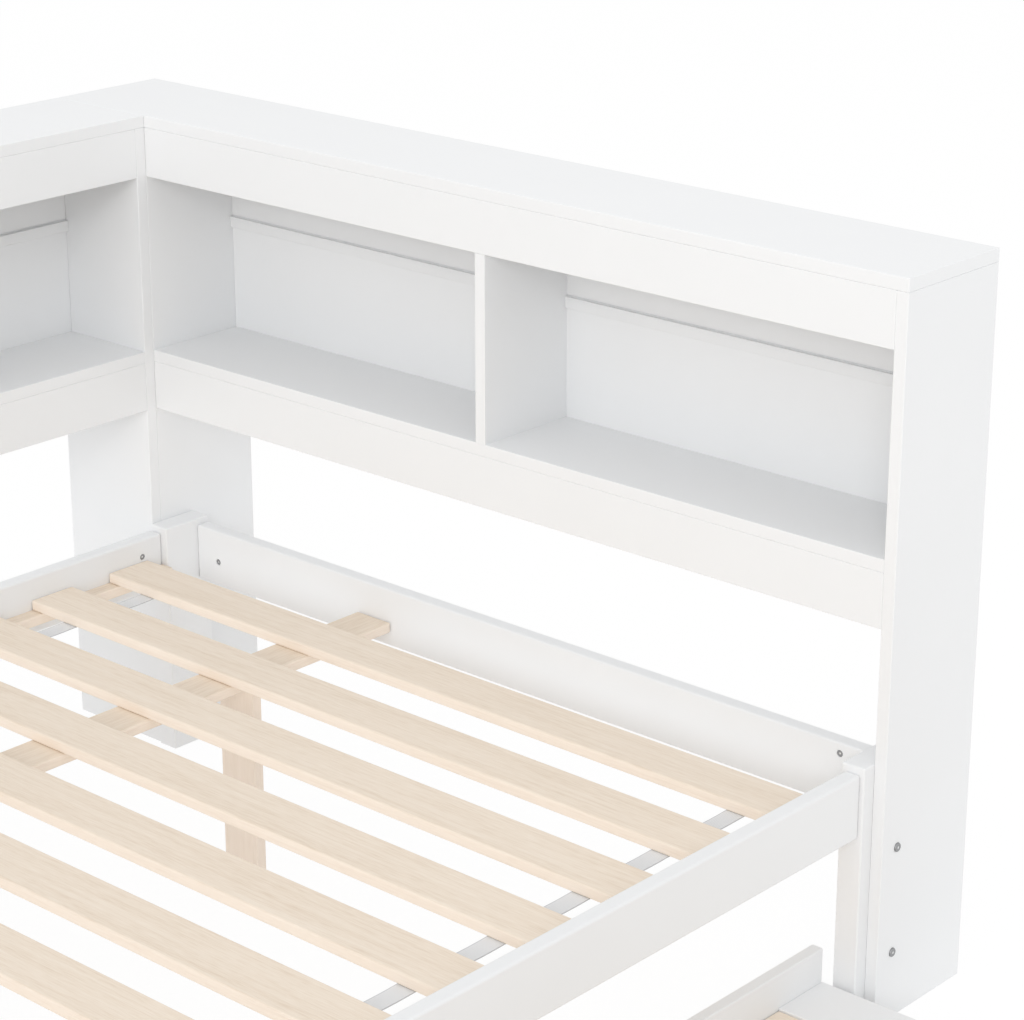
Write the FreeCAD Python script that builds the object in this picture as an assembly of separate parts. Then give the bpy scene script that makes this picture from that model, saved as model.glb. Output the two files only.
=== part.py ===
import FreeCAD, Part
import math
import os

# Full-size bed with an L-shaped pair of bookcases and a roll-out trundle. Millimetres.
# +X is the open side where the trundle rolls out, +Y is the head end, +Z is up.
# The origin is on the floor, in the middle of the object with its trundle drawn out.

Vec = FreeCAD.Vector
X_AXIS = Vec(1, 0, 0)
Y_AXIS = Vec(0, 1, 0)
Z_AXIS = Vec(0, 0, 1)

# ---------------------------------------------------------------- driving dimensions
# Mattress that the frame is made for, with its room on the sides.
mattress_width = 1372.0
mattress_length = 1905.0
mattress_side_room = 2.25

# Bookcases: one behind the head, one along the closed side, joined in an L.
board = 19.0                    # thickness of every bookcase board
case_depth = 207.0
case_height = 1073.0
fascia_height = 79.0
compartment_height = 286.0
apron_height = 80.0
side_compartments = 3
head_compartments = 2
back_inset = 26.0               # face of the back sheet, in from the outer back edge
back_sheet = 5.0
back_rail_drop = 175.0          # depth of the upper back board below the top board
back_strip_height = 18.0
back_strip_thickness = 5.0
back_strip_gap = 1.5            # shadow line between the upper back board and the strip
board_arris = 1.2               # rounding of the bookcase boards' edges
rounding_share = 0.3            # a rounding is at most this share of a board's thinnest side
cut_past = 1.0                  # cutting blocks run this far past the surface

# Bed frame.
post_width = 38.0
post_depth = 92.0
post_height = 395.0
post_proud = 23.0               # head posts stand in front of the head bookcase
rail_thickness = 25.0
rail_height = 95.0
rail_top = 385.0
side_rail_setback = 6.0         # open side rail, in from its posts' outer face
rail_rounding = 4.0
post_rounding = 2.5

# Slats and what carries them.
slat_count = 12
slat_width = 83.0
slat_thickness = 17.0
slat_end_gap = 33.0             # end slats to the posts' inner faces
slat_end_room = 1.0
slat_rounding = 3.0
slat_top_drop = 37.0            # slat tops below the rail tops
ledger_width = 25.0
ledger_height = 17.0
strap_width = 30.0
strap_thickness = 1.2
strap_inset_closed = 76.0       # strap's outer edge, in from the slats' closed-side ends
strap_inset_open = 81.0         # the same at the open side
beam_width = 72.0
beam_thickness = 17.0
beam_inset = 387.5              # beam's outer edge, in from the closed side rail
beam_end_room = 1.0
leg_thickness = 18.0
leg_count = 3
leg_inset = 223.0               # end legs, in from the posts' inner faces

# Trundle.
trundle_width = 930.0
trundle_end_room = 15.0         # to the posts at each end
trundle_rail_height = 95.0
trundle_rail_top = 117.0
trundle_lap = 13.5              # drawn out, its inner rail still stands this far inside the side rail
end_board_width = 100.0
end_board_top = 65.0
trundle_slat_count = 11
trundle_slat_top = 63.0
trundle_slat_gap = 1.0          # first slat to the end board

# Casters under the trundle's end boards.
wheel_radius = 18.0
wheel_width = 16.0
wheel_side_room = 1.0
wheel_bore_room = 0.05
wheel_crown = 1.5               # rounding of the tread's shoulders
wheel_web_recess = 3.0          # web's face, in from the wheel's side
wheel_hub_wall = 3.0
wheel_rim_wall = 4.0
wheel_web_draft = 1.0           # slope of the recess walls, over its depth
axle_radius = 2.5
axle_head_radius = 4.0
axle_head_height = 1.6
bracket_plate = 2.0
bracket_length = 58.0
bracket_width = 42.0
bracket_leg_width = 20.0
bracket_corner = 5.0
caster_inset = 70.0             # wheel centre, in from the trundle rail's inner face

# Fasteners.
bolt_radius = 3.0
bolt_head_radius = 6.5
bolt_head_height = 4.0
bolt_head_rounding = 1.6
bolt_socket_width = 4.0
bolt_socket_depth = 2.8
bolt_hole_room = 0.3
bolt_sink = 1.5                 # head below the surface, short recess
bolt_proud = 2.5                # heads on the bookcase panels stand out this far
deep_recess = 36.0              # recess of the long bolts that run along the posts' depth
bolt_hole_past = 1.0            # bolt and nut holes run this far past their ends
bolt_past_nut = 8.0
nut_radius = 4.4
nut_hole_room = 0.7
nut_length = 16.0
nut_sink = 0.5                  # nut's face below the rail's face
nut_dimple_radius = 1.6
nut_dimple_depth = 1.2
thread_room = 0.05
nut_inset_side = 42.0           # barrel nut centre from the side rail's end
nut_inset_cross = 50.0          # barrel nut centre from the head or foot rail's end
side_bolt_drop = 30.0           # below the rail top
cross_bolt_drop_left = 54.0
cross_bolt_drop_right = 16.0
panel_bolt_heights = (104.0, 265.0)
panel_bolt_back = 35.0          # behind the head bookcase's front plane
panel_bolt_length = 42.0
cross_pin_share = 0.78          # rail pins, down from the rail top, as a share of its height
side_pin_share = 0.6
dowel_radius = 4.0
dowel_length = 30.0
dowel_room = 0.1
dowel_in_panel = 11.0
dowel_edge_inset = 18.0         # dowels in from a fascia's or apron's edges
shelf_dowel_inset = 30.0        # dowels in from a shelf's edges
hole_end_room = 0.5             # pin and screw holes run this far past their ends
cam_radius = 7.5
cam_height = 12.5
cam_inset = 24.0
cam_pin_radius = 3.0
cam_room = 0.3
cam_pin_room = 0.2
cam_socket_width = 5.0
cam_socket_depth = 3.0
screw_radius = 2.0
screw_head_radius = 4.0
screw_length = 32.0
screw_count = 5
screw_room = 0.1
caster_screw_length = 14.0
caster_screw_inset = 7.0        # from the plate's edges

# ---------------------------------------------------------------- derived places
frame_width = mattress_width + 2 * mattress_side_room
head_clear = rail_thickness + frame_width + rail_thickness + side_rail_setback
case_width = case_depth + head_clear + board
trundle_reach = trundle_width - trundle_lap - board - (board + side_rail_setback + rail_thickness)
total_width = case_width + trundle_reach
total_length = case_depth + post_proud + mattress_length + post_depth

x_wall = -total_width / 2
x_side_front = x_wall + case_depth
x_right_in = x_side_front + head_clear
x_right_out = x_right_in + board
x_rail_left_in = x_side_front + rail_thickness
x_rail_right_in = x_rail_left_in + frame_width

y_back = total_length / 2
y_head_front = y_back - case_depth
y_post_head = y_head_front - post_proud
y_post_foot = y_post_head - mattress_length
y_foot = y_post_foot - post_depth
y_head_post_back = y_post_head + post_depth

z_top = case_height - board
z_fascia = z_top - fascia_height
z_shelf_top = z_fascia - compartment_height
z_shelf = z_shelf_top - board
z_apron = z_shelf - apron_height
z_back_rail = z_top - back_rail_drop
z_back_strip_top = z_back_rail - back_strip_gap
shelf_depth = case_depth - back_inset

z_slat_top = rail_top - slat_top_drop
z_slat = z_slat_top - slat_thickness
z_rail = rail_top - rail_height

pieces = {}


# ---------------------------------------------------------------- shape helpers
def box(x0, x1, y0, y1, z0, z1):
    """A plain block between two corners."""
    return Part.makeBox(x1 - x0, y1 - y0, z1 - z0, Vec(x0, y0, z0))


def board_solid(x0, x1, y0, y1, z0, z1, rounding=board_arris):
    """A board with every edge eased."""
    solid = box(x0, x1, y0, y1, z0, z1)
    thinnest = min(x1 - x0, y1 - y0, z1 - z0)
    return solid.makeFillet(min(rounding, rounding_share * thinnest), solid.Edges)


def cylinder(base, direction, radius, length):
    """A round bar from a base point along a direction."""
    return Part.makeCylinder(radius, length, base, direction)


def add(name, solid):
    """Put one more solid into a node."""
    pieces.setdefault(name, []).append(solid)


def cut_from(name, tool):
    """Cut a tool out of those solids of a node that it reaches."""
    for index, solid in enumerate(pieces[name]):
        if solid.BoundBox.intersect(tool.BoundBox):
            pieces[name][index] = solid.cut(tool).Solids[0]


def drill(names, base, direction, radius, length):
    """Drill one hole through several nodes."""
    tool = cylinder(base, direction, radius, length)
    for name in names:
        cut_from(name, tool)


def even_places(low, high, count):
    """Even places along a stretch, in from both its ends."""
    pitch = (high - low) / count
    return [low + pitch * (index + 0.5) for index in range(count)]


def hex_prism(base, direction, width, length):
    """A hexagonal bar, for a hex key's socket."""
    side_axis = Z_AXIS if abs(direction.z) < 0.5 else X_AXIS
    other_axis = direction.cross(side_axis)
    corner_radius = width / math.sqrt(3)
    corners = []
    for step in range(7):
        angle = math.radians(60 * step)
        offset = side_axis * math.cos(angle) + other_axis * math.sin(angle)
        corners.append(base + offset * corner_radius)
    return Part.Face(Part.makePolygon(corners)).extrude(direction * length)


# ---------------------------------------------------------------- fasteners
def socket_bolt(node, through, face_point, direction, recess, shank):
    """A hex-socket bolt with a rounded head: direction runs from its head into the wood."""
    seat = face_point + direction * recess
    head = cylinder(seat - direction * bolt_head_height, direction, bolt_head_radius, bolt_head_height)
    socket_start = seat - direction * bolt_head_height
    rim = [edge for edge in head.Edges if edge.Closed and edge.CenterOfMass.isEqual(socket_start, cut_past)]
    head = head.makeFillet(bolt_head_rounding, rim)
    head = head.cut(hex_prism(socket_start, direction, bolt_socket_width, bolt_socket_depth))
    stem = cylinder(seat, direction, bolt_radius, shank)
    add(node, head.fuse(stem).removeSplitter().Solids[0])
    drill(through, face_point, direction, bolt_head_radius + bolt_hole_room, recess)
    drill(through, face_point, direction, bolt_radius + bolt_hole_room,
          recess + shank + bolt_hole_past)


def barrel_nut(rail, face_point, direction, bolt_point, bolt_direction):
    """A cross nut that goes into a rail's inner face and takes the bolt's end."""
    nut_base = face_point + direction * nut_sink
    nut = cylinder(nut_base, direction, nut_radius, nut_length)
    bolt_way = cylinder(bolt_point - bolt_direction * nut_length, bolt_direction,
                        bolt_radius + thread_room, 2 * nut_length)
    nut = nut.cut(bolt_way)
    dimple = cylinder(nut_base, direction, nut_dimple_radius, nut_dimple_depth)
    add("barrel_nuts", nut.cut(dimple).Solids[0])
    drill([rail], face_point, direction, nut_radius + nut_hole_room, nut_length + bolt_hole_past)


def dowel(nodes, joint_point, direction, in_second, node="dowel_pins"):
    """A wooden pin across a joint: direction runs from the first piece into the second."""
    base = joint_point - direction * (dowel_length - in_second)
    add(node, cylinder(base, direction, dowel_radius, dowel_length))
    drill(nodes, base - direction * hole_end_room, direction, dowel_radius + dowel_room,
          dowel_length + 2 * hole_end_room)


def cam_fitting(board_node, panel_node, joint_point, direction, face_point, face_normal):
    """A cam disc let into a board's hidden face, and its pin into the panel."""
    disc_centre = face_point - direction * cam_inset
    disc = cylinder(disc_centre, face_normal * -1, cam_radius, cam_height)
    socket = hex_prism(disc_centre, face_normal * -1, cam_socket_width, cam_socket_depth)
    pin_start = joint_point - direction * cam_inset
    pin = cylinder(pin_start, direction, cam_pin_radius, cam_inset + dowel_in_panel)
    room = cylinder(pin_start, direction, cam_pin_radius + cam_pin_room,
                    cam_inset + dowel_in_panel + hole_end_room)
    pocket = cylinder(disc_centre, face_normal * -1, cam_radius + cam_room, cam_height + cam_room)
    cut_from(board_node, pocket)
    cut_from(board_node, room)
    cut_from(panel_node, room)
    pin_tip = cylinder(pin_start, direction, cam_pin_radius + cam_pin_room, cam_radius + cam_room)
    disc = disc.cut(socket).cut(pin_tip)
    add("cam_fittings", max(disc.Solids, key=lambda solid: solid.Volume))
    add("cam_fittings", pin)


def wood_screw(node, through, face_point, direction, length=screw_length):
    """A countersunk screw: direction runs from its head into the wood."""
    cone = Part.makeCone(screw_head_radius, screw_radius, screw_head_radius - screw_radius,
                         face_point, direction)
    stem = cylinder(face_point, direction, screw_radius, length)
    add(node, cone.fuse(stem).removeSplitter().Solids[0])
    seat = Part.makeCone(screw_head_radius + screw_room, screw_radius + screw_room,
                         screw_head_radius - screw_radius, face_point, direction)
    for name in through:
        cut_from(name, seat)
    drill(through, face_point, direction, screw_radius + screw_room, length + hole_end_room)


# ---------------------------------------------------------------- bookcases
def bookcase_front_boards(prefix, span):
    """Fascia, shelf and apron of one bookcase: span turns depths and heights into a block."""
    add(prefix + "_fascia", span(0, board, z_fascia, z_top))
    add(prefix + "_shelf", span(0, shelf_depth, z_shelf, z_shelf_top))
    add(prefix + "_apron", span(0, board, z_apron, z_shelf))
    back_face = shelf_depth
    add(prefix + "_back_panel", span(back_face, back_face + back_sheet, z_shelf, z_back_rail))
    add("back_rails", span(back_face, back_face + board, z_back_rail, z_top))


def divider_solid(block):
    """An upright between compartments, notched behind the fascia."""
    upright = block(0, shelf_depth, z_shelf_top, z_top)
    notch = block(-cut_past, board, z_fascia, z_top + cut_past)
    return upright.cut(notch).Solids[0]


def build_head_bookcase():
    """The bookcase behind the head, whose top board also covers the corner of the L."""
    add("head_top", board_solid(x_wall, x_right_out, y_head_front, y_back, z_top, case_height))
    left_panel_x = x_side_front - board
    for name, x0 in (("head_left_panel", left_panel_x), ("head_right_panel", x_right_in)):
        add(name, board_solid(x0, x0 + board, y_head_front, y_back, 0, z_top))

    def span(depth0, depth1, z0, z1):
        return board_solid(x_side_front, x_right_in, y_head_front + depth0, y_head_front + depth1, z0, z1)

    bookcase_front_boards("head", span)
    pitch = (head_clear + board) / head_compartments
    for index in range(head_compartments):
        x0 = x_side_front + index * pitch
        x1 = x0 + pitch - board
        if index > 0:
            def block(depth0, depth1, z0, z1, left=x0 - board):
                return box(left, left + board, y_head_front + depth0, y_head_front + depth1, z0, z1)
            add("head_divider", divider_solid(block))
        y_strip = y_head_front + shelf_depth
        add("back_strips", board_solid(x0, x1, y_strip - back_strip_thickness, y_strip,
                                       z_back_strip_top - back_strip_height, z_back_strip_top))


def build_side_bookcase():
    """The bookcase along the closed side, from the head bookcase's front to the foot."""
    add("side_top", board_solid(x_wall, x_side_front, y_foot, y_head_front, z_top, case_height))
    for name, y0 in (("side_head_panel", y_head_front - board), ("side_foot_panel", y_foot)):
        add(name, board_solid(x_wall, x_side_front, y0, y0 + board, 0, z_top))
    y_low = y_foot + board
    y_high = y_head_front - board

    def span(depth0, depth1, z0, z1):
        return board_solid(x_side_front - depth1, x_side_front - depth0, y_low, y_high, z0, z1)

    bookcase_front_boards("side", span)
    pitch = (y_high - y_low + board) / side_compartments
    for index in range(side_compartments):
        y0 = y_low + index * pitch
        y1 = y0 + pitch - board
        if index > 0:
            def block(depth0, depth1, z0, z1, low=y0 - board):
                return box(x_side_front - depth1, x_side_front - depth0, low, low + board, z0, z1)
            add("side_dividers", divider_solid(block))
        x_strip = x_side_front - shelf_depth
        add("back_strips", board_solid(x_strip, x_strip + back_strip_thickness, y0, y1,
                                       z_back_strip_top - back_strip_height, z_back_strip_top))


def join_case_boards(prefix, ends, along, depth_axis, origin):
    """Dowels and cams at both ends of a bookcase's fascia, shelf and apron."""
    fascia_pins = (z_fascia + dowel_edge_inset, z_top - dowel_edge_inset)
    apron_pins = (z_apron + dowel_edge_inset, z_shelf - dowel_edge_inset)
    rows = (
        ("_fascia", board / 2, fascia_pins, z_fascia + fascia_height / 2),
        ("_apron", board / 2, apron_pins, z_apron + apron_height / 2),
    )
    for end_value, panel, sign in ends:
        outward = along * sign
        for suffix, depth, heights, cam_height_z in rows:
            for height in heights:
                point = origin(end_value, depth, height)
                dowel([prefix + suffix, panel], point, outward, dowel_in_panel)
            point = origin(end_value, depth, cam_height_z)
            face = origin(end_value, board, cam_height_z)
            cam_fitting(prefix + suffix, panel, point, outward, face, depth_axis)
        shelf_z = z_shelf + board / 2
        for depth in (shelf_dowel_inset, shelf_depth - shelf_dowel_inset):
            dowel([prefix + "_shelf", panel], origin(end_value, depth, shelf_z), outward, dowel_in_panel)
        middle = shelf_depth / 2
        face = origin(end_value, middle, z_shelf)
        shelf_joint = origin(end_value, middle, shelf_z)
        cam_fitting(prefix + "_shelf", panel, shelf_joint, outward, face, Z_AXIS * -1)


def join_bookcases():
    """Fit both bookcases' boards to their end panels."""
    join_case_boards(
        "head",
        ((x_side_front, "head_left_panel", -1), (x_right_in, "head_right_panel", 1)),
        X_AXIS,
        Y_AXIS,
        lambda x, depth, z: Vec(x, y_head_front + depth, z),
    )
    join_case_boards(
        "side",
        ((y_foot + board, "side_foot_panel", -1), (y_head_front - board, "side_head_panel", 1)),
        Y_AXIS,
        X_AXIS * -1,
        lambda y, depth, z: Vec(x_side_front - depth, y, z),
    )


def pin_tops_and_dividers():
    """Upright pins from the end panels into the tops, and from the dividers into the shelves."""
    half = board / 2
    for panel, x in (("head_left_panel", x_side_front - half), ("head_right_panel", x_right_in + half)):
        for y in even_places(y_head_front, y_back, 2):
            dowel([panel, "head_top"], Vec(x, y, z_top), Z_AXIS, dowel_in_panel)
    for panel, y in (("side_foot_panel", y_foot + half), ("side_head_panel", y_head_front - half)):
        for x in even_places(x_wall, x_side_front, 2):
            dowel([panel, "side_top"], Vec(x, y, z_top), Z_AXIS, dowel_in_panel)
    for index in range(1, head_compartments):
        x = x_side_front - half + index * (head_clear + board) / head_compartments
        for y in even_places(y_head_front, y_head_front + shelf_depth, 2):
            dowel(["head_divider", "head_shelf"], Vec(x, y, z_shelf_top), Z_AXIS * -1, dowel_in_panel)
    side_clear = y_head_front - y_foot - 2 * board
    for index in range(1, side_compartments):
        y = y_foot + half + index * (side_clear + board) / side_compartments
        for x in even_places(x_side_front - shelf_depth, x_side_front, 2):
            dowel(["side_dividers", "side_shelf"], Vec(x, y, z_shelf_top), Z_AXIS * -1, dowel_in_panel)


# ---------------------------------------------------------------- bed frame
posts = {
    "post_head_left": (x_side_front, y_post_head),
    "post_head_right": (x_right_in - post_width, y_post_head),
    "post_foot_left": (x_side_front, y_foot),
    "post_foot_right": (x_right_in - post_width, y_foot),
}


def build_posts_and_rails():
    """Four posts, and four rails between them."""
    for name, (x0, y0) in posts.items():
        add(name, board_solid(x0, x0 + post_width, y0, y0 + post_depth, 0, post_height, post_rounding))
    cross_x0 = x_side_front + post_width
    cross_x1 = x_right_in - post_width
    y_head_rail = y_head_post_back - rail_thickness
    rail_boxes = {
        "rail_head": (cross_x0, cross_x1, y_head_rail, y_head_post_back),
        "rail_foot": (cross_x0, cross_x1, y_foot, y_foot + rail_thickness),
        "rail_left": (x_side_front, x_rail_left_in, y_post_foot, y_post_head),
        "rail_right": (x_rail_right_in, x_rail_right_in + rail_thickness, y_post_foot, y_post_head),
    }
    for name, (x0, x1, y0, y1) in rail_boxes.items():
        add(name, board_solid(x0, x1, y0, y1, z_rail, rail_top, rail_rounding))


def join_cross_rail(rail, y_centre, inner_normal, y_inner):
    """Bolt one head or foot rail to its two posts."""
    end = rail.split("_")[1]
    sides = (
        ("left", x_side_front, X_AXIS, cross_bolt_drop_left),
        ("right", x_right_in, X_AXIS * -1, cross_bolt_drop_right),
    )
    for side, x_face, direction, drop in sides:
        post = "post_" + end + "_" + side
        z = rail_top - drop
        recess = bolt_head_height + bolt_sink
        shank = post_width - recess + nut_inset_cross + bolt_past_nut
        face_point = Vec(x_face, y_centre, z)
        socket_bolt("frame_bolts", [post, rail], face_point, direction, recess, shank)
        nut_point = face_point + direction * (post_width + nut_inset_cross)
        nut_face = Vec(nut_point.x, y_inner, z)
        barrel_nut(rail, nut_face, inner_normal * -1, nut_point, direction)
        pin_point = Vec(x_face, y_centre, rail_top - cross_pin_share * rail_height) + direction * post_width
        dowel([post, rail], pin_point, direction, dowel_length / 2)


def join_side_rail(rail, x_centre, inner_normal, x_inner):
    """Bolt one side rail to its head and foot posts."""
    side = rail.split("_")[1]
    ends = (
        ("head", y_head_post_back, Y_AXIS * -1),
        ("foot", y_foot, Y_AXIS),
    )
    for end, y_face, direction in ends:
        post = "post_" + end + "_" + side
        z = rail_top - side_bolt_drop
        shank = post_depth - deep_recess + nut_inset_side + bolt_past_nut
        face_point = Vec(x_centre, y_face, z)
        socket_bolt("frame_bolts", [post, rail], face_point, direction, deep_recess, shank)
        nut_point = face_point + direction * (post_depth + nut_inset_side)
        nut_face = Vec(x_inner, nut_point.y, z)
        barrel_nut(rail, nut_face, inner_normal * -1, nut_point, direction)
        pin_point = Vec(x_centre, y_face, rail_top - side_pin_share * rail_height) + direction * post_depth
        dowel([post, rail], pin_point, direction, dowel_length / 2)


def join_frame():
    """All the frame's bolts, nuts and pins."""
    half = rail_thickness / 2
    y_head_inner = y_head_post_back - rail_thickness
    y_foot_inner = y_foot + rail_thickness
    join_cross_rail("rail_head", y_head_inner + half, Y_AXIS * -1, y_head_inner)
    join_cross_rail("rail_foot", y_foot_inner - half, Y_AXIS, y_foot_inner)
    join_side_rail("rail_left", x_rail_left_in - half, X_AXIS, x_rail_left_in)
    join_side_rail("rail_right", x_rail_right_in + half, X_AXIS * -1, x_rail_right_in)
    sides = (
        ("head_right_panel", "post_head_right", x_right_out, X_AXIS * -1),
        ("head_left_panel", "post_head_left", x_side_front - board, X_AXIS),
    )
    for panel, post, x_face, direction in sides:
        for height in panel_bolt_heights:
            face_point = Vec(x_face, y_head_front + panel_bolt_back, height)
            recess = bolt_head_height - bolt_proud
            socket_bolt("frame_bolts", [panel, post], face_point, direction, recess, panel_bolt_length)
    for panel, post, y in (
        ("side_head_panel", "post_head_left", y_head_front - board / 2),
        ("side_foot_panel", "post_foot_left", y_foot + board / 2),
    ):
        for height in panel_bolt_heights:
            dowel([panel, post], Vec(x_side_front, y, height), X_AXIS, dowel_length / 2)


# ---------------------------------------------------------------- slats and their support
def build_slat_deck():
    """Ledgers on the side rails, slats across them, and straps under the slats."""
    ledger_rows = (
        (x_rail_left_in, X_AXIS * -1, "rail_left", x_rail_left_in + ledger_width),
        (x_rail_right_in - ledger_width, X_AXIS, "rail_right", x_rail_right_in - ledger_width),
    )
    for x0, direction, rail, x_face in ledger_rows:
        add("slat_ledgers", board_solid(x0, x0 + ledger_width, y_post_foot, y_post_head,
                                        z_slat - ledger_height, z_slat))
        for y in even_places(y_post_foot, y_post_head, screw_count):
            face_point = Vec(x_face, y, z_slat - ledger_height / 2)
            wood_screw("frame_screws", ["slat_ledgers", rail], face_point, direction)

    slat_pitch = (mattress_length - 2 * slat_end_gap - slat_width) / (slat_count - 1)
    slat_x0 = x_rail_left_in + slat_end_room
    slat_x1 = x_rail_right_in - slat_end_room
    for index in range(slat_count):
        y1 = y_post_head - slat_end_gap - slat_pitch * index
        solid = board_solid(slat_x0, slat_x1, y1 - slat_width, y1, z_slat, z_slat_top, slat_rounding)
        add("slat_%02d" % (index + 1), solid)

    strap_y0 = y_post_foot + slat_end_gap + slat_width / 4
    strap_y1 = y_post_head - slat_end_gap - slat_width / 4
    for x0 in (slat_x0 + strap_inset_closed, slat_x1 - strap_inset_open - strap_width):
        add("slat_straps", box(x0, x0 + strap_width, strap_y0, strap_y1, z_slat - strap_thickness, z_slat))


def build_centre_support():
    """A flat beam under the slats, on three board legs."""
    x0 = x_rail_left_in + beam_inset
    x1 = x0 + beam_width
    y0 = y_foot + rail_thickness + beam_end_room
    y1 = y_head_post_back - rail_thickness - beam_end_room
    z_beam = z_slat - beam_thickness
    add("centre_beam", board_solid(x0, x1, y0, y1, z_beam, z_slat, slat_rounding))
    first = y_post_head - leg_inset
    last = y_post_foot + leg_inset
    for index in range(leg_count):
        centre = first + (last - first) * index / (leg_count - 1)
        leg = board_solid(x0, x1, centre - leg_thickness / 2, centre + leg_thickness / 2, 0, z_beam)
        add("centre_legs", leg)
        for x in (x0 + beam_width / 4, x1 - beam_width / 4):
            wood_screw("frame_screws", ["centre_beam", "centre_legs"], Vec(x, centre, z_slat), Z_AXIS * -1)


# ---------------------------------------------------------------- trundle
x_trundle = x_rail_right_in - trundle_lap - board
x_trundle_in = x_trundle + board
x_trundle_out = x_trundle + trundle_width - board
y_trundle_head = y_post_head - trundle_end_room
y_trundle_foot = y_post_foot + trundle_end_room
z_trundle_rail = trundle_rail_top - trundle_rail_height
z_end_board = end_board_top - board
z_trundle_slat = trundle_slat_top - slat_thickness


def build_trundle_frame():
    """Two upright rails, a flat board across each end, ledgers and slats."""
    for name, x0 in (("trundle_rail_inner", x_trundle), ("trundle_rail_outer", x_trundle_out)):
        solid = board_solid(x0, x0 + board, y_trundle_foot, y_trundle_head,
                            z_trundle_rail, trundle_rail_top, 2 * board_arris)
        add(name, solid)
    y_boards = (y_trundle_foot, y_trundle_head - end_board_width)
    for y0 in y_boards:
        add("trundle_end_boards", board_solid(x_trundle_in, x_trundle_out, y0, y0 + end_board_width,
                                              z_end_board, end_board_top))
    ledger_y0 = y_trundle_foot + end_board_width
    ledger_y1 = y_trundle_head - end_board_width
    ledger_rows = (
        (x_trundle_in, X_AXIS * -1, "trundle_rail_inner", x_trundle_in + ledger_width),
        (x_trundle_out - ledger_width, X_AXIS, "trundle_rail_outer", x_trundle_out - ledger_width),
    )
    for x0, direction, rail, x_face in ledger_rows:
        add("trundle_ledgers", board_solid(x0, x0 + ledger_width, ledger_y0, ledger_y1,
                                           z_trundle_slat - ledger_height, z_trundle_slat))
        for y in even_places(ledger_y0, ledger_y1, screw_count):
            face_point = Vec(x_face, y, z_trundle_slat - ledger_height / 2)
            wood_screw("trundle_screws", ["trundle_ledgers", rail], face_point, direction)
    rail_joints = (
        (x_trundle_in, X_AXIS * -1, "trundle_rail_inner"),
        (x_trundle_out, X_AXIS, "trundle_rail_outer"),
    )
    for x_joint, direction, rail in rail_joints:
        for y0 in y_boards:
            for y in even_places(y0, y0 + end_board_width, 2):
                joint_point = Vec(x_joint, y, z_end_board + board / 2)
                dowel(["trundle_end_boards", rail], joint_point, direction, dowel_in_panel, "trundle_pins")
    slat_y0 = ledger_y0 + trundle_slat_gap
    slat_y1 = ledger_y1 - trundle_slat_gap
    pitch = (slat_y1 - slat_y0 - slat_width) / (trundle_slat_count - 1)
    for index in range(trundle_slat_count):
        y0 = slat_y0 + pitch * index
        add("trundle_slats", board_solid(x_trundle_in + slat_end_room, x_trundle_out - slat_end_room,
                                         y0, y0 + slat_width, z_trundle_slat, trundle_slat_top,
                                         slat_rounding))


def caster_bracket(x, y):
    """A pressed plate with two ears that hold the axle."""
    z_plate = z_end_board - bracket_plate
    half_gap = wheel_width / 2 + wheel_side_room
    plate = box(x - bracket_length / 2, x + bracket_length / 2,
                y - bracket_width / 2, y + bracket_width / 2, z_plate, z_end_board)
    corner_edges = [edge for edge in plate.Edges if abs(edge.tangentAt(0).z) > 0.9]
    bracket = plate.makeFillet(bracket_corner, corner_edges)
    for y0 in (y - half_gap - bracket_plate, y + half_gap):
        ear = box(x - bracket_leg_width / 2, x + bracket_leg_width / 2,
                  y0, y0 + bracket_plate, wheel_radius, z_plate)
        foot = cylinder(Vec(x, y0, wheel_radius), Y_AXIS, bracket_leg_width / 2, bracket_plate)
        bracket = bracket.fuse(ear).fuse(foot)
    hole_base = Vec(x, y - bracket_width, wheel_radius)
    bracket = bracket.cut(cylinder(hole_base, Y_AXIS, axle_radius, 2 * bracket_width))
    return bracket.removeSplitter().Solids[0]


def caster_wheel(x, y):
    """A plastic wheel with a recessed web on both sides and a plain bore."""
    half = wheel_width / 2
    web = half - wheel_web_recess
    hub = axle_radius + wheel_hub_wall
    rim = wheel_radius - wheel_rim_wall
    bore = axle_radius + wheel_bore_room
    outline = [
        (bore, -half), (hub, -half), (hub + wheel_web_draft, -web),
        (rim - wheel_web_draft, -web), (rim, -half), (wheel_radius - wheel_crown, -half),
    ]
    edges = []
    for first, second in zip(outline[:-1], outline[1:]):
        edges.append(Part.makeLine(Vec(first[0], first[1], 0), Vec(second[0], second[1], 0)))
    shoulder_low = Vec(wheel_radius - wheel_crown, -half, 0)
    bulge = wheel_crown * (1 - math.sqrt(0.5))
    bulge_low = Vec(wheel_radius - bulge, -half + bulge, 0)
    tread_low = Vec(wheel_radius, -half + wheel_crown, 0)
    tread_high = Vec(wheel_radius, half - wheel_crown, 0)
    bulge_high = Vec(bulge_low.x, -bulge_low.y, 0)
    shoulder_high = Vec(wheel_radius - wheel_crown, half, 0)
    edges.append(Part.Arc(shoulder_low, bulge_low, tread_low).toShape())
    edges.append(Part.makeLine(tread_low, tread_high))
    edges.append(Part.Arc(tread_high, bulge_high, shoulder_high).toShape())
    mirrored = [(radius, -offset) for radius, offset in reversed(outline)]
    for first, second in zip(mirrored[:-1], mirrored[1:]):
        edges.append(Part.makeLine(Vec(first[0], first[1], 0), Vec(second[0], second[1], 0)))
    edges.append(Part.makeLine(Vec(bore, half, 0), Vec(bore, -half, 0)))
    wheel = Part.Face(Part.Wire(edges)).revolve(Vec(0, 0, 0), Y_AXIS, 360)
    return Part.Solid(wheel.Shells[0]).translated(Vec(x, y, wheel_radius))


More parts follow.
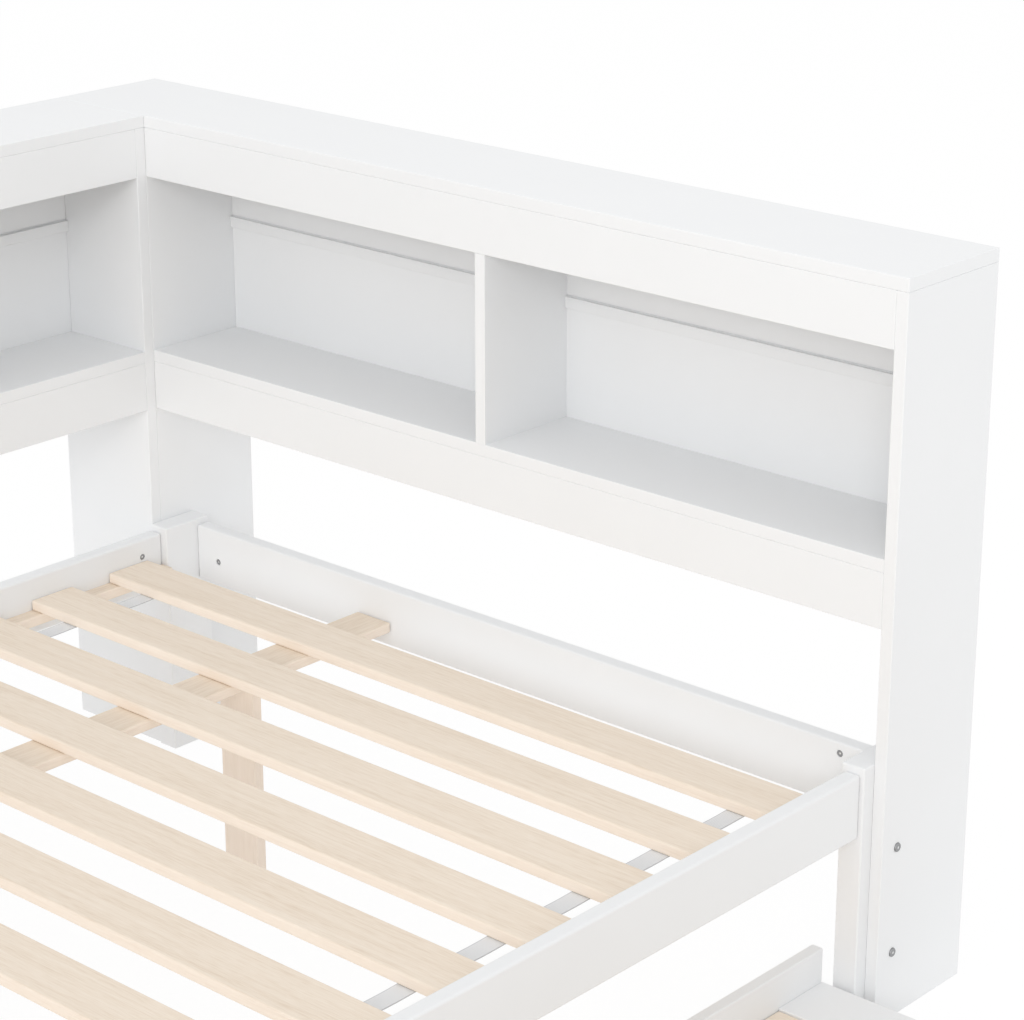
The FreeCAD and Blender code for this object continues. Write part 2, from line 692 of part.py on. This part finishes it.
def build_casters():
    """One caster near each corner, under the end boards."""
    xs = (x_trundle_in + caster_inset, x_trundle_out - caster_inset)
    ys = (y_trundle_head - end_board_width / 2, y_trundle_foot + end_board_width / 2)
    number = 0
    for y in ys:
        for x in xs:
            number += 1
            add("caster_brackets", caster_bracket(x, y))
            for side_x in (-1, 1):
                for side_y in (-1, 1):
                    screw_x = x + side_x * (bracket_length / 2 - caster_screw_inset)
                    screw_y = y + side_y * (bracket_width / 2 - caster_screw_inset)
                    screw_point = Vec(screw_x, screw_y, z_end_board - bracket_plate)
                    wood_screw("trundle_screws", ["caster_brackets", "trundle_end_boards"],
                               screw_point, Z_AXIS, caster_screw_length)
            pin_length = wheel_width + 2 * wheel_side_room + 2 * bracket_plate
            pin_base = Vec(x, y - pin_length / 2, wheel_radius)
            pin = cylinder(pin_base, Y_AXIS, axle_radius, pin_length)
            for base in (pin_base - Y_AXIS * axle_head_height, pin_base + Y_AXIS * pin_length):
                pin = pin.fuse(cylinder(base, Y_AXIS, axle_head_radius, axle_head_height))
            add("caster_axles", pin.removeSplitter().Solids[0])
            add("caster_wheel_%d" % number, caster_wheel(x, y))


build_head_bookcase()
build_side_bookcase()
join_bookcases()
pin_tops_and_dividers()
build_posts_and_rails()
join_frame()
build_slat_deck()
build_centre_support()
build_trundle_frame()
build_casters()

os.makedirs("parts", exist_ok=True)
for node_name, solids in pieces.items():
    shape = solids[0] if len(solids) == 1 else Part.makeCompound(solids)
    shape.exportStep("parts/" + node_name + ".step")
print("nodes", len(pieces), "solids", sum(len(solids) for solids in pieces.values()))
print("overall", total_width, total_length, case_height)
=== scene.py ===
# %% [markdown]
# # A white bookcase bed with its trundle drawn out
#
# The bed stands ready as a frame of packed boards, rails, slats and bolts, each already in its
# place and at its real size. This file gives every surface its finish, adds the woven tapes under
# the slats and a painted highlight at the centre of each nut and bolt, and sets up a pale studio
# with the camera where the photographer stood. All lengths are in metres.

# %% Load the frame
import math

import bmesh
import bpy
from mathutils import Matrix, Vector


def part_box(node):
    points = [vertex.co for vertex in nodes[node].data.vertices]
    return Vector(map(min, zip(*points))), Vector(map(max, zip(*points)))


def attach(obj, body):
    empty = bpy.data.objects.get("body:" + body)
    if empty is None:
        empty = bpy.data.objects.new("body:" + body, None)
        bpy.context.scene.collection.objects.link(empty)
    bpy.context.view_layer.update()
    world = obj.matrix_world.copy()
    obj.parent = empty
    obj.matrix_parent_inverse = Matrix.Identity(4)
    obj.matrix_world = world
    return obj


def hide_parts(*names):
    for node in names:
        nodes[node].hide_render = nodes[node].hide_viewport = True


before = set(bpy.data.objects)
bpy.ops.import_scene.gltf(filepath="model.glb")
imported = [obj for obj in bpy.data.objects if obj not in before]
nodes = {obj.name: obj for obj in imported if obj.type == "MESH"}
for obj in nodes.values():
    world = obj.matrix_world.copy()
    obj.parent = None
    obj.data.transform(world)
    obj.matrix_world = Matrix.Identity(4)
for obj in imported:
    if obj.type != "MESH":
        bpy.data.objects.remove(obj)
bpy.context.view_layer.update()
MM = 0.001

# %% [markdown]
# ## Three small helpers
#
# Colours are easiest to read as hex values, but shaders want linear light, so one function
# converts them. Another adds a shader node, sets its values and plugs in its inputs, so that a
# material reads as a list of what it does. The third starts a material.


# %% Colour and node helpers
def linear(hex_colour):
    """An sRGB hex colour as linear RGBA."""
    channels = []
    for start in (1, 3, 5):
        value = int(hex_colour[start:start + 2], 16) / 255
        channels.append(value / 12.92 if value <= 0.04045 else ((value + 0.055) / 1.055) ** 2.4)
    return (*channels, 1.0)


def add_node(tree, kind, settings=None, **inputs):
    """One shader node. Settings are its properties, and inputs its sockets by name.

    An input is a value or the socket that feeds it. Where several sockets share a name, a number
    stands for it, such as _6. An underscore inside a name is a space.
    """
    node = tree.nodes.new(kind)
    for name, value in (settings or {}).items():
        setattr(node, name, value)
    for name, value in inputs.items():
        key = int(name[1:]) if name[1:].isdigit() else name.replace("_", " ")
        socket = node.inputs[key]
        if isinstance(value, bpy.types.NodeSocket):
            tree.links.new(value, socket)
        else:
            socket.default_value = value
    return node


def start_material(name):
    """A new material with its shader node, and the object's own coordinates."""
    material = bpy.data.materials.new(name)
    material.use_nodes = True
    tree = material.node_tree
    shader = tree.nodes["Principled BSDF"]
    place = tree.nodes.new("ShaderNodeTexCoord").outputs["Object"]
    return material, tree, shader, place


# %% [markdown]
# ## White lacquer
#
# The bookcases, posts and rails are board and pine sprayed with white lacquer and rubbed down
# between coats. A sprayed film is never a mirror: it keeps a very fine pebbled skin, called orange
# peel, a few millimetres from bump to bump, and its gloss drifts a little over a board's length.
# Both are too weak to see straight on and show in the soft highlights, so they go into the bump
# and the roughness and the colour stays nearly plain.

# %% White lacquer
LACQUER_WHITE = "#F1F2F3"
LACQUER_SHADE = "#EEEFF0"
LACQUER_SMOOTHEST = 0.36
LACQUER_ROUGHEST = 0.46
LACQUER_IOR = 1.48
LACQUER_SPECULAR = 0.35
DRIFT_SPACING = 180 * MM
PEEL_SPACING = 2.4 * MM
PEEL_HEIGHT = 0.1 * MM
PEEL_STRENGTH = 0.05


def white_lacquer(name):
    material, tree, shader, place = start_material(name)
    drift = add_node(tree, "ShaderNodeTexNoise", Vector=place, Scale=1 / DRIFT_SPACING, Detail=2.0)
    film = add_node(tree, "ShaderNodeMix", {"data_type": "RGBA"}, Factor=drift.outputs["Fac"],
                    _6=linear(LACQUER_SHADE), _7=linear(LACQUER_WHITE))
    gloss = add_node(tree, "ShaderNodeMapRange", Value=drift.outputs["Fac"],
                     To_Min=LACQUER_SMOOTHEST, To_Max=LACQUER_ROUGHEST)
    peel = add_node(tree, "ShaderNodeTexNoise", Vector=place, Scale=1 / PEEL_SPACING, Detail=1.0)
    bump = add_node(tree, "ShaderNodeBump", Height=peel.outputs["Fac"],
                    Strength=PEEL_STRENGTH, Distance=PEEL_HEIGHT)
    tree.links.new(film.outputs[2], shader.inputs["Base Color"])
    tree.links.new(gloss.outputs["Result"], shader.inputs["Roughness"])
    tree.links.new(bump.outputs["Normal"], shader.inputs["Normal"])
    shader.inputs["IOR"].default_value = LACQUER_IOR
    shader.inputs["Specular IOR Level"].default_value = LACQUER_SPECULAR
    return material


lacquer = white_lacquer("sprayed_white_lacquer")
print("made", lacquer.name)

# %% [markdown]
# ## Bare planed softwood
#
# The slats, their ledgers, the centre beam and its legs are planed pine or poplar with no finish.
# Up close such wood shows three things, all running along the board: wide soft bands where the saw
# crossed the yearly rings, narrower streaks of early and late wood, and fine fibres. One noise
# pattern does each, stretched about twenty times along the grain, and a board whose grain runs
# another way turns the pattern with a Mapping node. The pattern lies in the object's own space, so
# neighbouring slats cut different parts of it and no two look alike.

# %% Grain
RING_WIDTH = 26 * MM
STREAK_WIDTH = 5 * MM
FIBRE_WIDTH = 1.5 * MM
RING_STRETCH = 16
STREAK_STRETCH = 22
FIBRE_STRETCH = 18
RING_BEND = 0.5
STREAK_BEND = 0.2
GRAIN_TURNS = {"x": (0, 0, 0), "y": (0, 0, math.radians(90)), "z": (0, math.radians(90), 0)}


def grain_noise(tree, place, width, stretch, grain, detail, bend=0.0):
    """Noise whose streaks are so wide across the grain and that many widths long."""
    scale = (1 / (width * stretch), 1 / width, 1 / width)
    turned = add_node(tree, "ShaderNodeMapping", Vector=place, Rotation=GRAIN_TURNS[grain])
    drawn_out = add_node(tree, "ShaderNodeMapping", Vector=turned.outputs["Vector"], Scale=scale)
    noise = add_node(tree, "ShaderNodeTexNoise", Vector=drawn_out.outputs["Vector"], Scale=1.0,
                     Detail=detail, Distortion=bend)
    return noise.outputs["Fac"]


print("grain from", FIBRE_WIDTH, "to", RING_WIDTH, "metres wide")

# %% [markdown]
# Faces that stand upright are painted paler and a little rosier than level faces. This is painted
# light, standing in for the light that falls on the boards' upright sides. The surface's own
# normal
# tells them apart: it is level on an upright face. The dowels are turned beech, which has the same
# kind of figure in browner colours.

# %% Softwood
STREAK_SHARE = 0.6
FIBRE_SHARE = 0.45
DARK_BELOW = 0.32
MIDDLE_AT = 0.49
LIGHT_ABOVE = 0.66
WOOD_UPRIGHT_PAINTED_LIGHT = "#FDF1E5"
UPRIGHT_PAINTED_LIGHT_SHARE = 0.5
FACE_ABOVE = 0.9
EDGE_BELOW = 0.3
WOOD_SMOOTHEST = 0.58
WOOD_ROUGHEST = 0.72
FIBRE_HEIGHT = 0.12 * MM
FIBRE_STRENGTH = 0.2
WOOD_IOR = 1.5
WOOD_SPECULAR = 0.3


def softwood(name, grain, light, middle, dark):
    material, tree, shader, place = start_material(name)
    rings = grain_noise(tree, place, RING_WIDTH, RING_STRETCH, grain, 2.0, RING_BEND)
    streaks = grain_noise(tree, place, STREAK_WIDTH, STREAK_STRETCH, grain, 2.0, STREAK_BEND)
    fibres = grain_noise(tree, place, FIBRE_WIDTH, FIBRE_STRETCH, grain, 3.0)
    bands = add_node(tree, "ShaderNodeMix", Factor=STREAK_SHARE, _2=rings, _3=streaks)
    figure = add_node(tree, "ShaderNodeMix", Factor=FIBRE_SHARE, _2=bands.outputs[0], _3=fibres)
    ramp = add_node(tree, "ShaderNodeValToRGB", Fac=figure.outputs[0])
    ramp.color_ramp.elements[0].position = DARK_BELOW
    ramp.color_ramp.elements[0].color = linear(dark)
    ramp.color_ramp.elements[1].position = LIGHT_ABOVE
    ramp.color_ramp.elements[1].color = linear(light)
    ramp.color_ramp.elements.new(MIDDLE_AT).color = linear(middle)
    normal = tree.nodes.new("ShaderNodeNewGeometry").outputs["True Normal"]
    upright = add_node(tree, "ShaderNodeSeparateXYZ", Vector=normal)
    face_up = add_node(tree, "ShaderNodeMath", {"operation": "ABSOLUTE"}, _0=upright.outputs["Z"])
    # Painted light: upright faces are mixed towards a paler, rosier wood colour.
    upright_painted_light = add_node(tree, "ShaderNodeMapRange", Value=face_up.outputs[0],
                    From_Min=FACE_ABOVE, From_Max=EDGE_BELOW, To_Max=UPRIGHT_PAINTED_LIGHT_SHARE)
    tint = add_node(tree, "ShaderNodeMix", {"data_type": "RGBA"}, Factor=upright_painted_light.outputs["Result"],
                    _6=ramp.outputs["Color"], _7=linear(WOOD_UPRIGHT_PAINTED_LIGHT))
    rough = add_node(tree, "ShaderNodeMapRange", Value=fibres,
                     To_Min=WOOD_SMOOTHEST, To_Max=WOOD_ROUGHEST)
    bump = add_node(tree, "ShaderNodeBump", Height=fibres,
                    Strength=FIBRE_STRENGTH, Distance=FIBRE_HEIGHT)
    tree.links.new(tint.outputs[2], shader.inputs["Base Color"])
    tree.links.new(rough.outputs["Result"], shader.inputs["Roughness"])
    tree.links.new(bump.outputs["Normal"], shader.inputs["Normal"])
    shader.inputs["IOR"].default_value = WOOD_IOR
    shader.inputs["Specular IOR Level"].default_value = WOOD_SPECULAR
    return material


# %% The four woods: light, middle and dark wood of each
pine_across = softwood("planed_pine_grain_x", "x", "#F5E9DA", "#EFE1D0", "#E3D2BE")
# Painted shade: the wood for the beam and ledgers under the slats is a few levels darker than the
# slats' wood.
pine_along = softwood("planed_pine_grain_y", "y", "#F0E3D3", "#EADBC9", "#DECCB8")
# Painted light: the legs' wood is a little paler than the slats', for the light that reaches them
# low under the bed.
pine_upright = softwood("planed_pine_grain_z", "z", "#F5EADE", "#EFE3D6", "#E4D6C6")
beech = softwood("turned_beech", "x", "#DCC2A0", "#D2B691", "#C3A37C")
print("made", pine_across.name, pine_along.name, pine_upright.name, beech.name)

# %% [markdown]
# ## Zinc-plated steel and moulded plastic
#
# The bolts, nuts, cams, screws and caster brackets are steel with a thin zinc plating, grey and
# faintly cloudy. Metal keeps its default IOR and takes its look from its colour and roughness. The
# wheels are moulded dark plastic, with the slight texture that a sandblasted mould leaves.

# %% Steel and plastic
CLOUD_HEIGHT = 0.05 * MM
CLOUD_STRENGTH = 0.15


def clouded(name, light, dark, cloud_size, metallic, smoothest, roughest):
    material, tree, shader, place = start_material(name)
    cloud = add_node(tree, "ShaderNodeTexNoise", Vector=place, Scale=1 / cloud_size, Detail=4.0)
    tint = add_node(tree, "ShaderNodeMix", {"data_type": "RGBA"}, Factor=cloud.outputs["Fac"],
                    _6=linear(dark), _7=linear(light))
    rough = add_node(tree, "ShaderNodeMapRange", Value=cloud.outputs["Fac"],
                     To_Min=smoothest, To_Max=roughest)
    bump = add_node(tree, "ShaderNodeBump", Height=cloud.outputs["Fac"],
                    Strength=CLOUD_STRENGTH, Distance=CLOUD_HEIGHT)
    tree.links.new(tint.outputs[2], shader.inputs["Base Color"])
    tree.links.new(rough.outputs["Result"], shader.inputs["Roughness"])
    tree.links.new(bump.outputs["Normal"], shader.inputs["Normal"])
    shader.inputs["Metallic"].default_value = metallic
    return material


zinc = clouded("zinc_plated_steel", "#A9AAAB", "#8F9092",
               cloud_size=1.5 * MM, metallic=1.0, smoothest=0.3, roughest=0.45)
wheel_plastic = clouded("moulded_black_nylon", "#2E2E30", "#262628",
                        cloud_size=0.8 * MM, metallic=0.0, smoothest=0.45, roughest=0.6)
print("made", zinc.name, wheel_plastic.name)

# %% [markdown]
# ## Polyester tape
#
# Two flat woven tapes run along under the slats and keep them evenly apart. The yarn is pale
# blue-grey. The tape's two edges are painted darker than its middle, as painted shade along the
# edges' thickness. The weave is about a millimetre, too fine for the picture, so it is drawn two
# millimetres wide. It follows the tape by the tape's own UV map: U across, V along, both in
# metres.

# %% Tape material
TAPE_WIDTH = 30 * MM
TAPE_PALE = "#EAEBEC"
TAPE_GREY = "#DBDCDE"
TAPE_EDGE_PAINTED_SHADE = "#BFC1C4"
EDGE_STARTS = 1.4 * MM
EDGE_IS_FULL = 0.6 * MM
WEAVE_PITCH = 2.0 * MM
WEAVE_TURN = (0, 0, math.radians(45))
WEAVE_HEIGHT = 0.2 * MM
WEAVE_STRENGTH = 0.3
TAPE_ROUGHNESS = 0.75
TAPE_SHEEN = 0.15


def woven_tape(name):
    material, tree, shader, _ = start_material(name)
    uv = tree.nodes.new("ShaderNodeUVMap")
    turned = add_node(tree, "ShaderNodeMapping", Vector=uv.outputs["UV"], Rotation=WEAVE_TURN)
    weave = add_node(tree, "ShaderNodeTexChecker", Vector=turned.outputs["Vector"],
                     Scale=1 / WEAVE_PITCH, Color1=linear(TAPE_PALE), Color2=linear(TAPE_GREY))
    across = add_node(tree, "ShaderNodeSeparateXYZ", Vector=uv.outputs["UV"])
    centred = add_node(tree, "ShaderNodeMath", {"operation": "SUBTRACT"},
                       _0=across.outputs["X"], _1=TAPE_WIDTH / 2)
    from_centre = add_node(tree, "ShaderNodeMath", {"operation": "ABSOLUTE"},
                           _0=centred.outputs[0])
    # Painted shade: the two edges of the tape are mixed towards a darker grey.
    edge = add_node(tree, "ShaderNodeMapRange", Value=from_centre.outputs[0],
                    From_Min=TAPE_WIDTH / 2 - EDGE_STARTS, From_Max=TAPE_WIDTH / 2 - EDGE_IS_FULL)
    tint = add_node(tree, "ShaderNodeMix", {"data_type": "RGBA"}, Factor=edge.outputs["Result"],
                    _6=weave.outputs["Color"], _7=linear(TAPE_EDGE_PAINTED_SHADE))
    bump = add_node(tree, "ShaderNodeBump", Height=weave.outputs["Fac"],
                    Strength=WEAVE_STRENGTH, Distance=WEAVE_HEIGHT)
    tree.links.new(tint.outputs[2], shader.inputs["Base Color"])
    tree.links.new(bump.outputs["Normal"], shader.inputs["Normal"])
    shader.inputs["Roughness"].default_value = TAPE_ROUGHNESS
    shader.inputs["Sheen Weight"].default_value = TAPE_SHEEN
    return material


tape = woven_tape("woven_polyester_tape")
print("made", tape.name)

# %% [markdown]
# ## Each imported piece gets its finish
#
# A node's name says what it is, so a short table of name beginnings picks the material. Grain runs
# along a board, which for the slats is across the bed, for ledgers and beam along it, and for the
# legs upright. What the table doesn't name is lacquered.

# %% Assign materials
FINISHES = (
    ("slat_straps", tape), ("slat_ledgers", pine_along), ("slat_", pine_across),
    ("centre_beam", pine_along), ("centre_legs", pine_upright),
    ("trundle_slats", pine_across), ("trundle_ledgers", pine_along),
    ("dowel_pins", beech), ("trundle_pins", beech),
    ("frame_bolts", zinc), ("barrel_nuts", zinc), ("cam_fittings", zinc),
    ("frame_screws", zinc), ("trundle_screws", zinc),
    ("caster_brackets", zinc), ("caster_axles", zinc), ("caster_wheel", wheel_plastic),
)
for node_name, obj in nodes.items():
    fitting = (material for start, material in FINISHES if node_name.startswith(start))
    obj.material_slots[0].material = next(fitting, lacquer)
print("finished", len(nodes), "nodes")

# %% [markdown]
# ## The tapes under the slats
#
# Each tape is stapled flat to the underside of every slat and hangs free between them. Woven tape
# pulled by hand is never quite tight, so each free stretch dips a little under a millimetre. A
# grid bent by that dip and given a thickness is all it takes: each row of the grid sinks by a sine
# between the slats on either side.

# %% Where the tapes run
TAPE_DIP = 0.8 * MM
SLAT_COUNT = 12
strap_low, strap_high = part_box("slat_straps")
slat_boxes = [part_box(f"slat_{number:02d}") for number in range(1, SLAT_COUNT + 1)]
slat_edges = sorted((low[1], high[1]) for low, high in slat_boxes)


def tape_dip(y):
    """How far the tape hangs below the slats' undersides at a place along the bed."""
    for (_, gap_start), (gap_end, _) in zip(slat_edges[:-1], slat_edges[1:]):
        if gap_start < y < gap_end:
            return TAPE_DIP * math.sin(math.pi * (y - gap_start) / (gap_end - gap_start))
    return 0.0


print("slats:", len(slat_edges), "tape from", strap_low[1], "to", strap_high[1])

# %% Model the tapes
TAPE_THICKNESS = 0.9 * MM
TAPE_COLUMNS = 6
TAPE_ROWS = 240
BELOW_SLATS = 0.1 * MM


def model_tape(name, x_low):
    length = strap_high[1] - strap_low[1]
    bm = bmesh.new()
    uv_layer = bm.loops.layers.uv.new("UVMap")
    bmesh.ops.create_grid(bm, x_segments=TAPE_COLUMNS, y_segments=TAPE_ROWS, size=0.5)
    bmesh.ops.scale(bm, vec=(TAPE_WIDTH, length, 1), verts=bm.verts)
    bmesh.ops.translate(bm, vec=(TAPE_WIDTH / 2, length / 2, 0), verts=bm.verts)
    for face in bm.faces:
        for loop in face.loops:
            loop[uv_layer].uv = loop.vert.co.xy
    corner = (x_low, strap_low[1], strap_high[2] - BELOW_SLATS)
    bmesh.ops.translate(bm, vec=corner, verts=bm.verts)
    for vert in bm.verts:
        vert.co.z -= tape_dip(vert.co.y)
    mesh = bpy.data.meshes.new(name)
    bm.to_mesh(mesh)
    bm.free()
    mesh.materials.append(tape)
    piece = bpy.data.objects.new(name, mesh)
    bpy.context.scene.collection.objects.link(piece)
    wall = piece.modifiers.new("thickness", "SOLIDIFY")
    wall.thickness = TAPE_THICKNESS
    wall.offset = -1
    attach(piece, "bed")
    return piece


tapes = [
    model_tape("slat_tape_left", strap_low[0]),
    model_tape("slat_tape_right", strap_high[0] - TAPE_WIDTH),
]
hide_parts("slat_straps")
print("tapes:", [piece.name for piece in tapes])

# %% [markdown]
# ## Painted highlights at the centres of the nuts and bolts
#
# Each nut in a rail and each bolt in a bookcase panel shows as a grey ring round a bright spot.
# That spot is a painted highlight: a pale steel plug at the bottom of the recess stands in for the
# bright reflection there. A node holds many nuts, so their places come from the loose solids in
# its
# mesh: a walk from corner to corner along the edges finds all that belongs to one solid.

# %% Find the nuts and bolts
WELD_DISTANCE = 0.01 * MM


def solid_boxes(node_name):
    """(lowest, highest) corners of each separate solid in a node."""
    bm = bmesh.new()
    bm.from_mesh(nodes[node_name].data)
    bmesh.ops.remove_doubles(bm, verts=bm.verts, dist=WELD_DISTANCE)
    bm.verts.index_update()
    seen = set()
    boxes = []
    for first in bm.verts:
        if first.index in seen:
            continue
        seen.add(first.index)
        waiting, places = [first], []
        while waiting:
            vert = waiting.pop()
            places.append(vert.co.copy())
            for edge in vert.link_edges:
                other = edge.other_vert(vert)
                if other.index not in seen:
                    seen.add(other.index)
                    waiting.append(other)
        boxes.append((Vector(map(min, zip(*places))), Vector(map(max, zip(*places)))))
    bm.free()
    return boxes


nut_boxes = solid_boxes("barrel_nuts")
bolt_boxes = solid_boxes("frame_bolts")
print("nuts:", len(nut_boxes), "bolts:", len(bolt_boxes))

# %% [markdown]
# A centre is a short round plug inside the recess. Its two depths say how far in from the open end
# it starts and stops.

# %% One bright centre
CENTRE_SIDES = 24


def add_centre(bm, box, axis, at_high_end, radius, depths):
    """A short round plug on a solid's axis, between two depths from its open end."""
    low, high = box
    place = (low + high) / 2
    inward = -1 if at_high_end else 1
    place[axis] = (high if at_high_end else low)[axis] + inward * sum(depths) / 2
    turn = Matrix.Rotation(math.radians(90), 4, "Y" if axis == 0 else "X")
    bmesh.ops.create_cone(bm, cap_ends=True, segments=CENTRE_SIDES, radius1=radius,
                          radius2=radius, depth=depths[1] - depths[0],
                          matrix=Matrix.Translation(place) @ turn)


print("a centre has", CENTRE_SIDES, "sides")

# %% [markdown]
# A nut's long side is its axis, and its open end is the one nearer the middle of the bed. Of the
# bolts, only those whose heads stand out of the head bookcase's two end panels have a centre.

# %% Model the painted highlight centres
NUT_CENTRE_RADIUS = 1.5 * MM
NUT_CENTRE_DEPTHS = (0.2 * MM, 1.2 * MM)
BOLT_CENTRE_RADIUS = 1.9 * MM
BOLT_CENTRE_DEPTHS = (0.3 * MM, 2.8 * MM)
# Painted highlight: the plugs are a near-white metal that stands in for the reflection in each
# recess.
painted_highlight_steel = clouded("steel_with_painted_highlight", "#F4F4F4", "#E8E8E8",
                       cloud_size=1.0 * MM, metallic=1.0, smoothest=0.35, roughest=0.5)
middle = (Vector(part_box("rail_left")[0]) + Vector(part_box("rail_right")[1])) / 2
left_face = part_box("head_left_panel")[0][0]
right_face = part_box("head_right_panel")[1][0]
bm = bmesh.new()
for low, high in nut_boxes:
    size = high - low
    axis = 0 if size.x > size.y else 1
    opens_high = (low + high)[axis] / 2 < middle[axis]
    add_centre(bm, (low, high), axis, opens_high, NUT_CENTRE_RADIUS, NUT_CENTRE_DEPTHS)
for low, high in bolt_boxes:
    if high.x > right_face:
        add_centre(bm, (low, high), 0, True, BOLT_CENTRE_RADIUS, BOLT_CENTRE_DEPTHS)
    elif low.x < left_face and high.x < middle.x:
        add_centre(bm, (low, high), 0, False, BOLT_CENTRE_RADIUS, BOLT_CENTRE_DEPTHS)
centres_mesh = bpy.data.meshes.new("painted_highlight_centres")
bm.to_mesh(centres_mesh)
bm.free()
centres_mesh.materials.append(painted_highlight_steel)
centres = bpy.data.objects.new("painted_highlight_centres", centres_mesh)
bpy.context.scene.collection.objects.link(centres)
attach(centres, "bed")
print("centres:", len(centres_mesh.polygons) // (CENTRE_SIDES + 2))

# %% [markdown]
# ## The camera
#
# The photograph is taken from outside the open side, looking back at the head with a long lens.
# The bookcase's right front corner is the easiest point to name, so the camera stands a measured
# way out from it, and the two angles say how far it is turned round from the foot and how far it
# looks down.

# %% Camera
LENS = 102.445
TURN = math.radians(41.863)
DOWN = math.radians(19.853)
FROM_CORNER = Vector((1.9981, -2.9811, 0.973))
SEES_AS_FAR_AS = 200
top_low, top_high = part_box("head_top")
camera_data = bpy.data.cameras.new("camera")
camera_data.lens = LENS
camera_data.clip_end = SEES_AS_FAR_AS
camera = bpy.data.objects.new("camera", camera_data)
camera.location = Vector((top_high[0], top_low[1], top_high[2])) + FROM_CORNER
camera.rotation_euler = (math.pi / 2 - DOWN, 0, TURN)
bpy.context.scene.collection.objects.link(camera)
bpy.context.scene.camera = camera
print("camera at", tuple(round(v, 3) for v in camera.location))

# %% [markdown]
# ## The studio
#
# The photograph has a pure white ground and almost no shadows, the look of a shooting table: a
# white sheet lit from underneath, under an evenly white tent. The floor here does the same. It is
# a white plane that also glows, so light reaches the boards low down and under the slats. What the
# camera sees of it is nearly all plain white, and the rest is the lit plane, so a faint shadow
# stays under the bed.

# %% Floor
FLOOR_REACH = 60
FLOOR_DROP = 0.2 * MM
bm = bmesh.new()
bmesh.ops.create_grid(bm, x_segments=1, y_segments=1, size=FLOOR_REACH)
bmesh.ops.translate(bm, vec=(0, 0, -FLOOR_DROP), verts=bm.verts)
floor_mesh = bpy.data.meshes.new("floor")
bm.to_mesh(floor_mesh)
bm.free()
floor = bpy.data.objects.new("floor", floor_mesh)
bpy.context.scene.collection.objects.link(floor)
print("floor reaches", FLOOR_REACH, "metres each way")

# %% Floor material
FLOOR_WHITE = "#F5F5F5"
FLOOR_GLOW = 0.2
WHITE_SHARE = 0.92
PURE_WHITE = (1, 1, 1, 1)


def seen_directly(tree):
    """1 for what the camera, a gloss or a clear piece sees, 0 for light that bounces on."""
    path = tree.nodes.new("ShaderNodeLightPath")
    first = add_node(tree, "ShaderNodeMath", {"operation": "MAXIMUM"},
                     _0=path.outputs["Is Camera Ray"], _1=path.outputs["Is Glossy Ray"])
    both = add_node(tree, "ShaderNodeMath", {"operation": "MAXIMUM"},
                    _0=first.outputs[0], _1=path.outputs["Is Transmission Ray"])
    return both.outputs[0]


floor_material = bpy.data.materials.new("lit_white_sheet")
floor_material.use_nodes = True
tree = floor_material.node_tree
surface = tree.nodes["Principled BSDF"]
surface.inputs["Base Color"].default_value = linear(FLOOR_WHITE)
surface.inputs["Roughness"].default_value = 1.0
surface.inputs["Specular IOR Level"].default_value = 0.0
surface.inputs["Emission Color"].default_value = PURE_WHITE
surface.inputs["Emission Strength"].default_value = FLOOR_GLOW
white = add_node(tree, "ShaderNodeEmission", Color=PURE_WHITE, Strength=1.0)
share = add_node(tree, "ShaderNodeMath", {"operation": "MULTIPLY"},
                 _0=seen_directly(tree), _1=WHITE_SHARE)
mix = add_node(tree, "ShaderNodeMixShader", _0=share.outputs[0],
               _1=surface.outputs[0], _2=white.outputs[0])
tree.links.new(mix.outputs[0], tree.nodes["Material Output"].inputs["Surface"])
floor.data.materials.append(floor_material)
print("made", floor_material.name)

# %% [markdown]
# The sky is white to the camera and gives soft light from all round. Three large lamps then tilt
# the balance, so that the faces towards the foot are the brightest, as in the photograph. Two of
# them stand very far off, because the light of a near lamp falls off along the bed, and burns out
# the foot end while the head end is still grey.

# %% Sky
SKY_LIGHT = 0.77
world = bpy.data.worlds.new("studio_sky")
world.use_nodes = True
bpy.context.scene.world = world
tree = world.node_tree
sky = tree.nodes["Background"]
sky.inputs["Color"].default_value = PURE_WHITE
strength = add_node(tree, "ShaderNodeMapRange", Value=seen_directly(tree),
                    To_Min=SKY_LIGHT, To_Max=1.0)
tree.links.new(strength.outputs["Result"], sky.inputs["Strength"])
print("sky ready")

# %% Lamps: name, place, what each is aimed at, width and height, watts
LAMPS = (
    ("front_softbox", (6.4, -83.6, 20.4), (0, 0.6, 0.6), (44.0, 32.0), 7900),
    ("camera_softbox", (27.0, -37.2, 20.5), (0, 0.4, 0.5), (15.0, 15.0), 4200),
    ("top_softbox", (0.3, 0.3, 4.5), (0.3, 0.3, 0.0), (4.0, 4.0), 27),
)
for name, place, target, (width, height), watts in LAMPS:
    data = bpy.data.lights.new(name, "AREA")
    data.shape = "RECTANGLE"
    data.size = width
    data.size_y = height
    data.energy = watts
    lamp = bpy.data.objects.new(name, data)
    lamp.location = place
    aim = Vector(target) - Vector(place)
    lamp.rotation_euler = aim.to_track_quat("-Z", "Y").to_euler()
    lamp.visible_camera = False
    bpy.context.scene.collection.objects.link(lamp)
bpy.context.scene.view_settings.view_transform = "Standard"
print("lamps:", len(LAMPS))
